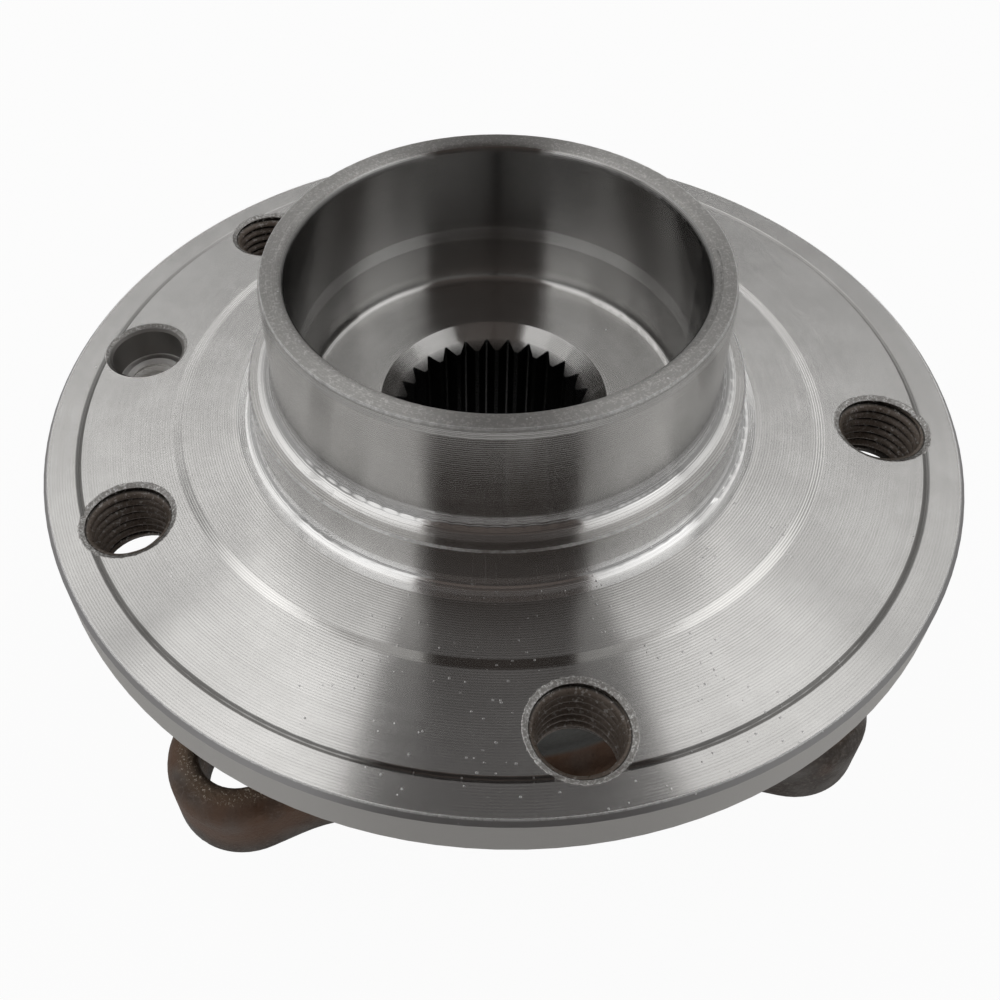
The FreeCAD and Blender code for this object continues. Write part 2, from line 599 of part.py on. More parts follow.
def make_inboard_seal():
    core = new_body("seal_inboard_core")
    top = "seal_seat - outer_end - 1"
    turned(core, "InboardCore", [
        ("seal_bore", top),
        ("seal_bore", "seal_inset - outer_end"),
        ("seal_bore - sheet_gauge", "seal_inset - outer_end"),
        ("seal_bore - sheet_gauge", f"{top} - sheet_gauge"),
        ("inner_shoulder + 3", f"{top} - sheet_gauge"),
        ("inner_shoulder + 3", top),
    ])
    slinger_top = "encoder_gauge + seal_inset + sheet_gauge - outer_end"
    slinger = new_body("slinger")
    turned(slinger, "SlingerSection", [
        ("inner_shoulder", f"{top} + 0.4"),
        ("inner_shoulder", f"{slinger_top} - sheet_gauge"),
        ("seal_bore - sheet_gauge - 0.5", f"{slinger_top} - sheet_gauge"),
        ("seal_bore - sheet_gauge - 0.5", slinger_top),
        ("inner_shoulder + sheet_gauge", slinger_top),
        ("inner_shoulder + sheet_gauge", f"{top} + 0.4"),
    ])
    lips = new_body("seal_inboard_lips")
    under = f"{top} - sheet_gauge"
    turned(lips, "InboardLips", [
        ("inner_shoulder + 5", under),
        ("inner_shoulder + 3", under),
        ("inner_shoulder + 3", top),
        ("inner_shoulder + 2", top),
        ("inner_shoulder + sheet_gauge + lip_gap", f"{top} + 0.4"),
        ("inner_shoulder + sheet_gauge + lip_gap", f"{top} - 0.2"),
        ("inner_shoulder + 1.8", f"{under} - 0.5"),
        ("inner_shoulder + sheet_gauge + lip_gap", f"{under} - 1.3"),
        ("inner_shoulder + sheet_gauge + lip_gap", f"{under} - 1.6"),
        ("inner_shoulder + 2.8", f"{under} - 0.9"),
        ("inner_shoulder + 4.0", f"{under} - 0.7"),
        ("inner_shoulder + 5.6", f"{slinger_top} + lip_gap"),
        ("inner_shoulder + 6.0", f"{slinger_top} + lip_gap"),
    ])
    encoder = new_body("encoder_ring")
    turned(encoder, "EncoderSection", [
        ("inner_shoulder + 1.2", f"{slinger_top} - sheet_gauge"),
        ("seal_bore - sheet_gauge - 0.5", f"{slinger_top} - sheet_gauge"),
        ("seal_bore - sheet_gauge - 0.5", f"{slinger_top} - sheet_gauge - encoder_gauge"),
        ("inner_shoulder + 1.2", f"{slinger_top} - sheet_gauge - encoder_gauge"),
    ])
    return [core, slinger, lips, encoder]


def make_pieces():
    """Every piece of the bearing, each with a label of its own."""
    pieces = [make_hub(), make_inner_ring(), make_outer_ring()]
    for row, away in (("outboard", -1), ("inboard", 1)):
        pieces.append(make_cage(row, away))
        pieces += [make_ball(row, index) for index in range(whole("ball_count"))]
    return pieces + make_outboard_seal() + make_inboard_seal()


def check(pieces):
    """Stops if any object failed or any piece is not one valid solid."""
    doc.recompute()
    for item in doc.Objects:
        if "Invalid" in item.State or "Error" in item.State:
            raise RuntimeError(f"{item.Name} failed: {item.State}")
    for piece in pieces:
        shape = piece.Shape
        if shape.isNull() or not shape.isValid() or len(shape.Solids) != 1:
            raise RuntimeError(f"{piece.Label} is not one valid solid")


def write(pieces):
    """Writes one file for each piece, named by its label."""
    os.makedirs("parts", exist_ok=True)
    for piece in pieces:
        piece.Shape.exportStep(f"parts/{piece.Label}.step")
        print(f"{piece.Label}: {piece.Shape.Volume / 1000:.2f} cm3, {len(piece.Shape.Faces)} faces")


all_pieces = make_pieces()
check(all_pieces)
write(all_pieces)
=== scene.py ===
# %% [markdown]
# # A wheel hub bearing on a white table
# The real part is a steel forging that has been turned on a lathe, so nearly everything that shows
# is bare metal with fine rings around one axis. The ears below it keep their dark forging scale.
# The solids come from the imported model. This file adds what a solid doesn't carry: the camera, the
# light, the finishes, the threads in the holes, and the burrs around them.

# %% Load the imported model
import json
import math
import bpy
from mathutils import Matrix, Vector


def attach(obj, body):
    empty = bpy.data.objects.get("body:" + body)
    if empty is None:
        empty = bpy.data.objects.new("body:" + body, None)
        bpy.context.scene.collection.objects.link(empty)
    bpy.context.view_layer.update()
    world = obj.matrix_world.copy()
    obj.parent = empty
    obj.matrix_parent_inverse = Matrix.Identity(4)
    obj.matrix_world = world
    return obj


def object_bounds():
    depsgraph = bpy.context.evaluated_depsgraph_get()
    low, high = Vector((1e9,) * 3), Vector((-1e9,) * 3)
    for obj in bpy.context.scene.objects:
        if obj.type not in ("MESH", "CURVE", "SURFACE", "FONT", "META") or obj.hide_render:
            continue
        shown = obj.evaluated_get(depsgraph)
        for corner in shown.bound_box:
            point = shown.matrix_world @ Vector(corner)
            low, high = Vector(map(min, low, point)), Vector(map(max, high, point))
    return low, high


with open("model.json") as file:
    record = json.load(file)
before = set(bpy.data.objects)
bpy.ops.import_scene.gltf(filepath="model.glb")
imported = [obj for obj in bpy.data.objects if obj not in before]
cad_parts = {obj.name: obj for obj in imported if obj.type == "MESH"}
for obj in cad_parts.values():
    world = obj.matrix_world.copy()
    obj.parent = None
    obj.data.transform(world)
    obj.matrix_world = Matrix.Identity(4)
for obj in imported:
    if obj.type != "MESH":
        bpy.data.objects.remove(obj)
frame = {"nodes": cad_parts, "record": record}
MM = 0.001
cad_low, cad_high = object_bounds()
nodes = frame["nodes"]
mounts = {mount["name"]: mount for mount in frame["record"]["mounts"]}
print("pieces in the packed model:", len(nodes))

# %% [markdown]
# ## The camera
# The photograph was taken from above, on the side of the front bolt hole. Its focal length, place
# and tilt were worked out from the round edges and the holes, which are ellipses in the picture.
# A camera matrix holds three directions, so the clearest way is to build those from yaw, pitch
# and roll, and write them as the columns of a matrix. The shift moves the frame over the subject
# as a cropped photograph does.

# %% Camera
CAMERA_MM = (-16.25, -115.59, 113.18)
YAW, PITCH, ROLL = math.radians(3.286), math.radians(-43.227), math.radians(2.415)
FOCAL_PIXELS, CENTRE_X, CENTRE_Y, FRAME_PIXELS = 1052.44, 430.5, 371.02, 1000
SENSOR_MM = 36
NEAREST_SEEN = 0.005

forward = Vector((math.sin(YAW) * math.cos(PITCH), math.cos(YAW) * math.cos(PITCH), math.sin(PITCH)))
level = Vector((math.cos(YAW), -math.sin(YAW), 0))
down = forward.cross(level)
right = level * math.cos(ROLL) + down * math.sin(ROLL)
up = level * math.sin(ROLL) - down * math.cos(ROLL)

camera = bpy.data.objects.new("camera", bpy.data.cameras.new("camera"))
bpy.context.scene.collection.objects.link(camera)
bpy.context.scene.camera = camera
camera.matrix_world = (Matrix.Translation(Vector(CAMERA_MM) * MM)
                       @ Matrix((right, up, -forward)).transposed().to_4x4())
camera.data.sensor_width = SENSOR_MM
camera.data.lens = SENSOR_MM * FOCAL_PIXELS / FRAME_PIXELS
camera.data.shift_x = 0.5 - CENTRE_X / FRAME_PIXELS
camera.data.shift_y = CENTRE_Y / FRAME_PIXELS - 0.5
camera.data.clip_start = NEAREST_SEEN
print("lens in mm:", round(camera.data.lens, 2))

# %% [markdown]
# ## Shader nodes
# All materials, the world and the threads are built from nodes. A few helpers keep that short: one
# adds a node and links its inputs, and the others are the sums that come up again and again.

# %% Helpers for nodes
def add(tree, kind, inputs=(), **settings):
    """A node with its settings and inputs. An input may be a value or another node's output."""
    node = tree.nodes.new(kind)
    for name, value in settings.items():
        setattr(node, name, value)
    for socket, value in dict(inputs).items():
        if isinstance(value, bpy.types.NodeSocket):
            tree.links.new(value, node.inputs[socket])
        else:
            node.inputs[socket].default_value = value
    return node


def calc(tree, operation, first, second=0.0, third=0.0, clamp=False):
    """The result of one sum, as an output that other nodes can use."""
    return add(tree, "ShaderNodeMath", {0: first, 1: second, 2: third}, operation=operation,
               use_clamp=clamp).outputs[0]


def times(tree, first, *others):
    """The product of two or more values."""
    for other in others:
        first = calc(tree, "MULTIPLY", first, other)
    return first


def most(tree, first, *others):
    """The largest of two or more values."""
    for other in others:
        first = calc(tree, "MAXIMUM", first, other)
    return first


def less(tree, first, second):
    """The first value less the second."""
    return calc(tree, "SUBTRACT", first, second)


def times_plus(tree, first, second, third):
    """The product of two values, plus a third."""
    return calc(tree, "MULTIPLY_ADD", first, second, third)


def spread(tree, value, low, high, new_low=0.0, new_high=1.0):
    """A value moved smoothly from one range to another."""
    return add(tree, "ShaderNodeMapRange", {"Value": value, "From Min": low, "From Max": high,
                                            "To Min": new_low, "To Max": new_high},
               interpolation_type="SMOOTHSTEP").outputs["Result"]


def band(tree, value, low, high, edge):
    """1 between two limits and 0 outside them, with soft edges."""
    return times(tree, spread(tree, value, low - edge, low + edge), spread(tree, value, high + edge, high - edge))


# %% Helpers for mixing
def blend(tree, amount, first, second):
    """Two values mixed by an amount from 0 to 1."""
    return add(tree, "ShaderNodeMix", {0: amount, 2: first, 3: second}, data_type="FLOAT").outputs[0]


def blend_colours(tree, amount, first, second):
    """Two colours mixed by an amount from 0 to 1. A colour may be three numbers or another node's output."""
    colours = [part if isinstance(part, bpy.types.NodeSocket) else (*part, 1) for part in (first, second)]
    return add(tree, "ShaderNodeMix", {0: amount, 6: colours[0], 7: colours[1]}, data_type="RGBA",
               clamp_factor=True).outputs[2]


def layered(tree, colour, layers):
    """A colour with others laid over it in turn, each by its amount."""
    for amount, over in layers:
        colour = blend_colours(tree, amount, colour, over)
    return colour


# %% [markdown]
# ## The table and the studio
# Bare metal shows its surroundings more than its own colour. The photograph has broad white
# panels to the left and right, a dimmer ceiling, and a dark strip where the camera and the person
# behind it stand. Those are drawn into the world by direction, because a world costs nothing to
# render and reaches every side of the part. Two soft lamps add the brighter patches.
#
# Two numbers place a direction: how far it points towards the camera's side, and how far across.

# %% World: directions
world = bpy.data.worlds.new("studio")
bpy.context.scene.world = world
world.use_nodes = True
sky = world.node_tree
sky.nodes.clear()
CAMERA_SIDE = math.atan2(CAMERA_MM[1], CAMERA_MM[0])
SIDE_X, SIDE_Y = math.cos(CAMERA_SIDE), math.sin(CAMERA_SIDE)

direction = add(sky, "ShaderNodeTexCoord").outputs["Generated"]
axes = add(sky, "ShaderNodeSeparateXYZ", {0: direction}).outputs
towards = calc(sky, "ADD", times(sky, axes[0], SIDE_X), times(sky, axes[1], SIDE_Y))
across = less(sky, times(sky, axes[1], SIDE_X), times(sky, axes[0], SIDE_Y))

# %% World: the dark strip
# It widens towards the camera. It is lightest overhead, and darker towards both ends.
NARROWEST, WIDEST = 0.04, 0.45
middle = times_plus(sky, towards, 0.045, 0.039)
away = calc(sky, "ABSOLUTE", less(sky, across, middle))
half_width = most(sky, times_plus(sky, towards, 0.304, 0.272), NARROWEST)
half_width = calc(sky, "MINIMUM", half_width, WIDEST)
panels = spread(sky, less(sky, away, half_width), -0.008, 0.012)
strip = times(sky, spread(sky, towards, -0.62, -0.38, 0.06, 0.17), spread(sky, towards, -0.12, 0.18, 1.0, 0.12))
above_camera = times(sky, spread(sky, towards, 0.35, 0.6), spread(sky, axes[2], 0.45, 0.7, 0.0, 0.09))
strip = most(sky, strip, above_camera)

# %% World: the panels
# The overhead part is a fan on either side of the strip. A thin dark seam parts it from the sides.
reach = times_plus(sky, towards, 0.96, 0.79)
overhead = times(sky, spread(sky, less(sky, reach, away), -0.03, 0.02), spread(sky, towards, 0.12, -0.02))
overhead_level = times(sky, spread(sky, towards, -0.66, -0.60, 1.7, 1.0), spread(sky, across, -0.2, 0.2, 1.08, 0.94))
beyond = less(sky, away, reach)
seam_depth = times(sky, spread(sky, towards, -0.66, -0.58, 0.75, 0.35), spread(sky, across, -0.1, 0.1, 1.0, 0.7))
seam = times(sky, spread(sky, beyond, -0.005, 0.012), spread(sky, beyond, 0.085, 0.055), seam_depth)
sides = times(sky, spread(sky, axes[2], 0.42, 0.76, 0.30, 0.98), spread(sky, towards, 0.0, 0.3, 1.0, 0.7),
              spread(sky, across, -0.35, 0.35, 1.08, 0.87), less(sky, 1.0, seam))
ceiling = blend(sky, overhead, sides, overhead_level)

# %% World: colour and output
# The camera sees plain white instead, and mirror-like metal gets a trace of it.
STRIP_FAR, STRIP_NEAR, PANEL_WHITE = (1, 0.97, 0.96), (1, 0.80, 0.70), (1, 0.99, 0.975)
GLOSSY_SHARE = 0.015

strength = blend(sky, panels, strip, ceiling)
strip_colour = blend_colours(sky, spread(sky, towards, -0.2, 0.2), STRIP_FAR, STRIP_NEAR)
colour = blend_colours(sky, panels, strip_colour, PANEL_WHITE)
path = add(sky, "ShaderNodeLightPath").outputs
seen = calc(sky, "MULTIPLY_ADD", path["Is Glossy Ray"], GLOSSY_SHARE, path["Is Camera Ray"], clamp=True)
studio = add(sky, "ShaderNodeBackground", {"Color": colour, "Strength": strength}).outputs[0]
white = add(sky, "ShaderNodeBackground", {"Color": (1, 1, 1, 1), "Strength": 1.0}).outputs[0]
either = add(sky, "ShaderNodeMixShader", {0: seen, 1: studio, 2: white}).outputs[0]
add(sky, "ShaderNodeOutputWorld", {"Surface": either})
print("world nodes:", len(sky.nodes))

# %% Table
FLOOR = cad_low.z
TABLE_REACH = 2.0
PAPER = 0.86
CAMERA_GLOW, GLOSSY_GLOW = 0.955, 0.15

corners = [(x * TABLE_REACH, y * TABLE_REACH, FLOOR) for x, y in ((-1, -1), (1, -1), (1, 1), (-1, 1))]
table_mesh = bpy.data.meshes.new("table")
table_mesh.from_pydata(corners, [], [(0, 1, 2, 3)])
table = bpy.data.objects.new("table", table_mesh)
bpy.context.scene.collection.objects.link(table)
paper = bpy.data.materials.new("white_table")
paper.use_nodes = True
tree = paper.node_tree
tree.nodes.clear()
matt = add(tree, "ShaderNodeBsdfDiffuse", {"Color": (PAPER, PAPER, PAPER, 1)}).outputs[0]
glow = add(tree, "ShaderNodeEmission", {"Color": (1, 1, 1, 1), "Strength": 1.0}).outputs[0]
path = add(tree, "ShaderNodeLightPath").outputs
share = times_plus(tree, path["Is Camera Ray"], CAMERA_GLOW, times(tree, path["Is Glossy Ray"], GLOSSY_GLOW))
either = add(tree, "ShaderNodeMixShader", {0: share, 1: matt, 2: glow}).outputs[0]
add(tree, "ShaderNodeOutputMaterial", {"Surface": either})
table_mesh.materials.append(paper)
print("table at z =", round(FLOOR / MM, 1), "mm")


# %% Lamps
def softbox(name, place, size, power):
    """A square lamp that faces the part."""
    lamp = bpy.data.lights.new(name, "AREA")
    lamp.size, lamp.energy = size, power
    item = bpy.data.objects.new(name, lamp)
    item.location = place
    item.rotation_euler = (-Vector(place)).to_track_quat("-Z", "Y").to_euler()
    bpy.context.scene.collection.objects.link(item)


softbox("lamp_left", (-0.42, -0.30, 0.44), 0.30, 0.10)
softbox("lamp_right", (0.44, -0.20, 0.44), 0.30, 0.10)
print("lamps:", len(bpy.data.lights))

# %% [markdown]
# ## Turned steel
# A lathe tool leaves rings around the axis. They are too fine to model, but they decide how the
# metal looks: light spreads across the rings and stays sharp along them, which gives bright fans
# on a flat face and upright bands on a cylinder. The shader does this with anisotropy, whose
# direction here is the cross product of the axis and the position. Rings that are wide enough to
# see are added as a wave in the surface normal and as a slight change of colour and roughness.

# %% Material helpers
def new_material(name):
    """A material with an empty tree and one principled shader."""
    material = bpy.data.materials.new(name)
    material.use_nodes = True
    tree = material.node_tree
    tree.nodes.clear()
    shader = add(tree, "ShaderNodeBsdfPrincipled")
    add(tree, "ShaderNodeOutputMaterial", {"Surface": shader.outputs[0]})
    return material, tree, shader


def vector_calc(tree, operation, first, second=None, scale=None):
    """The result of one sum with vectors."""
    inputs = {0: first}
    if second is not None:
        inputs[1] = second
    if scale is not None:
        inputs["Scale"] = scale
    return add(tree, "ShaderNodeVectorMath", inputs, operation=operation).outputs


def length(tree, first, second):
    """The length of a flat vector with these two parts."""
    flat = add(tree, "ShaderNodeCombineXYZ", {0: first, 1: second}).outputs[0]
    return vector_calc(tree, "LENGTH", flat)["Value"]


def places(tree):
    """Object position, distance from the axis, and height, all in millimetres."""
    position = add(tree, "ShaderNodeTexCoord").outputs["Object"]
    scaled = vector_calc(tree, "SCALE", position, scale=1000.0)[0]
    parts = add(tree, "ShaderNodeSeparateXYZ", {0: scaled}).outputs
    return scaled, length(tree, parts[0], parts[1]), parts[2]


def noise(tree, vector, scale, detail=3.0, roughness=0.55):
    """Soft random patches."""
    return add(tree, "ShaderNodeTexNoise", {"Vector": vector, "Scale": scale, "Detail": detail,
                                            "Roughness": roughness}).outputs["Fac"]


def dots(tree, vector):
    """Distance from the nearest of many scattered points."""
    return add(tree, "ShaderNodeTexVoronoi", {"Vector": vector, "Scale": 0.9}, feature="F1").outputs["Distance"]


def ring_noise(tree, radius, height, scale):
    """Random rings: noise that changes with radius and height and not around the axis."""
    profile = add(tree, "ShaderNodeCombineXYZ", {0: radius, 1: height}).outputs[0]
    return noise(tree, profile, scale, 2.0)


def bumped(tree, shader, height, strength, distance, normal=None):
    """A bump on the shader's normal, or on a normal that is given. distance is in metres."""
    bump = add(tree, "ShaderNodeBump", {"Height": height, "Strength": strength, "Distance": distance})
    if normal:
        tree.links.new(normal, bump.inputs["Normal"])
    tree.links.new(bump.outputs[0], shader.inputs["Normal"])


# %% Tool marks
def ring_direction(tree):
    """The direction along the tool marks."""
    position = add(tree, "ShaderNodeTexCoord").outputs["Object"]
    around = vector_calc(tree, "CROSS_PRODUCT", (0, 0, 1), position)[0]
    turned = add(tree, "ShaderNodeVectorTransform", {0: around}, vector_type="VECTOR", convert_from="OBJECT",
                 convert_to="WORLD").outputs[0]
    return vector_calc(tree, "NORMALIZE", turned)[0]


def combed(tree, around, wave):
    """The surface normal, tipped across the tool marks by a wave. It spreads light across the rings only."""
    normal = add(tree, "ShaderNodeNewGeometry").outputs["Normal"]
    sideways = vector_calc(tree, "CROSS_PRODUCT", normal, around)[0]
    tipped = vector_calc(tree, "SCALE", sideways, scale=wave)[0]
    return vector_calc(tree, "NORMALIZE", vector_calc(tree, "ADD", normal, tipped)[0])[0]


# %% Where the holes are
BOLT_TURN = math.radians(-15.4)
bolts = mounts["wheel_bolts"]["dims"]
screw = mounts["disc_screw"]
screw_place = Vector(screw["pos_m"])
BOLT_STEP = math.tau / bolts["count"]


def from_holes(tree, spot, radius):
    """Distance from the axis of the nearest wheel-bolt hole, and from that of the disc-screw hole, in mm."""
    parts = add(tree, "ShaderNodeSeparateXYZ", {0: spot}).outputs
    angle = less(tree, calc(tree, "ARCTAN2", parts[1], parts[0]), BOLT_TURN)
    nearest = times(tree, calc(tree, "ROUND", calc(tree, "DIVIDE", angle, BOLT_STEP)), BOLT_STEP)
    angle = less(tree, angle, nearest)
    outwards = less(tree, times(tree, radius, calc(tree, "COSINE", angle)), bolts["pcd_mm"] / 2)
    sideways = times(tree, radius, calc(tree, "SINE", angle))
    screw_x, screw_y = screw_place.x / MM, screw_place.y / MM
    return (length(tree, outwards, sideways),
            length(tree, less(tree, parts[0], screw_x), less(tree, parts[1], screw_y)))


print("bolt holes:", bolts["count"], "on", bolts["pcd_mm"], "mm")

# %% [markdown]
# The next cell marks the regions of the hub, each with 1 inside it and 0 outside. The radii and
# heights are in millimetres, and a pair of numbers is the width over which a region fades.

# %% Turned steel: regions
BOLT_MOUTH, SCREW_MOUTH, SCREW_SEAT = (6.75, 6.6), (6.65, 6.45), (5.75, 5.6)
MOUTH_DEPTH, SEAT_DEPTH = (-0.6, -0.35), (-6.8, -5.8)
GROOVE, SLOPE = (62.3, 63.0), (47.5, 49.0)
SPLINE_RADIUS, SPLINE_DEPTH = (15.7, 15.2), (-3.0, -5.5)
BACK_DEPTH, BACK_FACE = (-6.6, -7.3), (38.0, 67.5)
CUP_RADIUS, CUP_FLOOR = (29.7, 29.4), (-0.7, 1.5)
PILOT_RADIUS, PILOT_FOOT = (32.5, 32.7), (0.4, 1.2)
FLANGE_RIM, BEVEL_RADIUS, BEVEL_DEPTH = (67.55, 67.65), (67.15, 67.2), (-0.6, -0.75)
PILOT_TOP, PILOT_BORE = (24.0, 24.5), (29.4, 29.9)

turned_steel, tree, shader = new_material("turned_steel")
spot, radius, level_z = places(tree)
bolt_away, screw_away = from_holes(tree, spot, radius)
ragged = times_plus(tree, noise(tree, spot, 1.7, 4.0, 0.7), 0.7, -0.35)
in_bolt = spread(tree, calc(tree, "ADD", bolt_away, ragged), *BOLT_MOUTH)
in_hole = most(tree, in_bolt, spread(tree, screw_away, *SCREW_MOUTH))
solid = less(tree, 1.0, in_hole)
mouth = times(tree, in_hole, spread(tree, level_z, *MOUTH_DEPTH))
# The counterbore seat is painted brighter than the steel below: a painted highlight.
seat = times(tree, spread(tree, screw_away, *SCREW_SEAT), band(tree, level_z, *SEAT_DEPTH, 0.1))
# The groove is painted darker below: painted shade in the groove.
shaded_groove = times(tree, band(tree, radius, *GROOVE, 0.08), spread(tree, level_z, -0.6, -0.05, 1.0, 0.8), solid)
spline = times(tree, spread(tree, radius, *SPLINE_RADIUS), spread(tree, level_z, *SPLINE_DEPTH))
forged = times(tree, spread(tree, level_z, *BACK_DEPTH), band(tree, radius, *BACK_FACE, 0.4), solid)
# The cup's inner wall is painted darker below: painted shade inside the cup.
shaded_cup = times(tree, spread(tree, radius, *CUP_RADIUS), spread(tree, level_z, *CUP_FLOOR))
# The outer walls of the pilot and the spigot are painted darker below: painted shade on upright walls.
wall = times(tree, spread(tree, radius, *PILOT_RADIUS), spread(tree, level_z, *PILOT_FOOT))
# The flange's outer cylinder is painted darker below: painted shade on an upright face.
barrel = spread(tree, radius, *FLANGE_RIM)
bevel = times(tree, spread(tree, radius, *BEVEL_RADIUS), less(tree, 1.0, spread(tree, level_z, *BEVEL_DEPTH)))
rim = times(tree, spread(tree, level_z, *PILOT_TOP), spread(tree, radius, *PILOT_BORE))
slope = band(tree, radius, *SLOPE, 0.12)
open_face = times(tree, solid, less(tree, 1.0, most(tree, shaded_cup, wall, barrel)))

# %% Turned steel: specks, and painted highlights on the edges
# Specks gather on the camera's side of the flange, as they do in the photo.
SPECK_SIDE = (4.0, -52.0, 0.0)
pits = dots(tree, spot)
from_side = vector_calc(tree, "DISTANCE", spot, SPECK_SIDE)["Value"]
knocked = spread(tree, from_side, 46.0, 18.0, 0.16, 0.0)
few = times(tree, spread(tree, less(tree, noise(tree, spot, 0.11, 3.0), knocked), 0.43, 0.58), open_face)
specks = times(tree, spread(tree, pits, 0.15, 0.09), few)
highlight_patches = spread(tree, noise(tree, spot, 1.1, 4.0, 0.7), 0.42, 0.6)
# Painted highlights: thin bright lines along the edges of the pilot, the flange and the ledge, broken up by noise.
pilot_edge = times(tree, band(tree, radius, 32.5, 32.75, 0.07), spread(tree, level_z, 24.3, 24.6))
flange_edge = times(tree, band(tree, radius, 66.97, 67.2, 0.06), spread(tree, level_z, -0.3, -0.1))
ledge_edge = times(tree, band(tree, radius, 36.4, 36.75, 0.05), spread(tree, level_z, 6.55, 6.65))
edges = most(tree, flange_edge, ledge_edge, pilot_edge)
specks_and_edge_highlights = most(tree, specks, times(tree, edges, times_plus(tree, highlight_patches, 0.5, 0.5)))

# %% Turned steel: rings
# feed is the path of the tool for each turn of the part, and fine is the grain of its edge.
FEED_MM, FINE_MM = 0.36, 0.113
rings = spread(tree, ring_noise(tree, radius, level_z, 2.3), 0.3, 0.7)
broad = spread(tree, ring_noise(tree, radius, level_z, 0.5), 0.3, 0.7)
travel = calc(tree, "ADD", radius, level_z)
feed = calc(tree, "SINE", times(tree, travel, math.tau / FEED_MM))
fine = calc(tree, "SINE", times(tree, travel, math.tau / FINE_MM))
weave = times_plus(tree, times_plus(tree, fine, 0.5, feed), 0.06, 0.09)
# Painted highlight: the round at the spigot's foot and the round at the pilot's foot are painted near white in the
# colour below.
foot_round = times(tree, band(tree, radius, 36.6, 39.3, 0.1), spread(tree, level_z, 1.6, 1.2))
ledge_round = times(tree, spread(tree, radius, 35.4, 35.2), band(tree, level_z, 6.7, 9.2, 0.1))
round_highlights = most(tree, foot_round, ledge_round)

# %% Turned steel: colour
# Each layer is an amount and a colour. Later layers lie over earlier ones.
grit = noise(tree, spot, 2.6, 5.0, 0.75)
patches = spread(tree, noise(tree, spot, 0.12), 0.35, 0.7)
steel = blend_colours(tree, patches, (0.64, 0.635, 0.625), (0.70, 0.695, 0.685))
steel = layered(tree, steel, [
    (times(tree, rings, 0.12), (0.46, 0.455, 0.45)),
    (weave, (0.12, 0.12, 0.12)),
    # painted highlight on the two rounds
    (times(tree, round_highlights, 0.8), (1, 1, 1)),
    # painted shade in the groove
    (times(tree, shaded_groove, 0.65), (0.15, 0.145, 0.14)),
    # painted shade on the outer walls of the pilot and the spigot
    (times(tree, wall, 0.2), (0.30, 0.285, 0.27)),
    # painted shade on the cup's inner wall
    (times(tree, shaded_cup, 0.36), (0.17, 0.165, 0.16)),
    (times(tree, rim, 0.55), (0.30, 0.29, 0.28)),
    # painted shade on the flange's outer cylinder
    (barrel, (0.56, 0.55, 0.535)),
    (bevel, (0.42, 0.415, 0.42)),
    # painted shade on the walls of all holes below their countersinks
    (less(tree, in_hole, mouth), (0.26, 0.25, 0.24)),
    # painted highlight on the counterbore seat
    (seat, (0.85, 0.84, 0.83)),
    # painted shade that makes the walls of the wheel-bolt holes nearly black
    (times(tree, in_bolt, less(tree, 1.0, mouth)), (0.06, 0.05, 0.042)),
    (times(tree, mouth, spread(tree, grit, 0.44, 0.56, 0.7, 0.0)), (0.30, 0.28, 0.265)),
    (times(tree, mouth, spread(tree, grit, 0.54, 0.6)), (0.92, 0.91, 0.90)),
    (times(tree, rim, spread(tree, grit, 0.5, 0.62), 0.45), (0.85, 0.84, 0.83)),
    # white specks, and painted highlights along the edges
    (times(tree, specks_and_edge_highlights, 0.9), (0.95, 0.95, 0.95)),
    (spline, (0.08, 0.08, 0.08)),
    (forged, (0.075, 0.06, 0.05)),
])
tree.links.new(steel, shader.inputs["Base Color"])

# %% Turned steel: sheen
shader.inputs["Metallic"].default_value = 1.0
rough = times_plus(tree, broad, 0.02, times_plus(tree, rings, 0.03, 0.14))
rough = times(tree, rough, times_plus(tree, slope, -0.35, 1.0))
for part, amount in ((forged, 0.55), (rim, 0.42), (in_hole, 0.42), (specks_and_edge_highlights, 0.6), (barrel, 0.38), (bevel, 0.42)):
    rough = most(tree, rough, times(tree, part, amount))
tree.links.new(rough, shader.inputs["Roughness"])
shader.inputs["Anisotropic"].default_value = 0.95
shader.inputs["Anisotropic Rotation"].default_value = 0.25
around = ring_direction(tree)
tree.links.new(around, shader.inputs["Tangent"])

# %% Turned steel: relief
wave = times_plus(tree, fine, 0.16, times(tree, feed, 0.08))
wave = times(tree, wave, less(tree, 1.0, slope))
coarse = times(tree, slope, calc(tree, "SINE", times(tree, radius, math.tau / FEED_MM)))
marks = times_plus(tree, specks, 1.5, times(tree, rings, 0.5))
marks = times_plus(tree, coarse, 0.3, marks)
rough_spots = times_plus(tree, in_hole, 14.0, times_plus(tree, rim, 3.0, times(tree, edges, 4.0)))
marks = times_plus(tree, grit, rough_spots, marks)
bumped(tree, shader, marks, 0.35, 0.00002, combed(tree, around, wave))
print("turned steel nodes:", len(tree.nodes))

# %% [markdown]
# ## Forging scale
# The ears and the ring keep the skin that hot steel grows: dark brown to grey, matt, and pitted.
# Noise at three sizes gives the colour, the pits and the dull sheen. Faces that a machine has cut,
# which are the spigot, the seat against the knuckle and both ends, show bare metal.

# %% Forged outer ring: regions
EAR_TOP = -38.5
EAR_SEAT = (-51.1, -51.25)
forging, tree, shader = new_material("forging")
spot, radius, level_z = places(tree)
clouds = noise(tree, spot, 0.16, 5.0)
grains = noise(tree, spot, 1.6, 6.0, 0.65)
pits = dots(tree, spot)
rust = times(tree, spread(tree, noise(tree, spot, 0.05, 3.0), 0.42, 0.6), spread(tree, level_z, -50.0, -44.0))
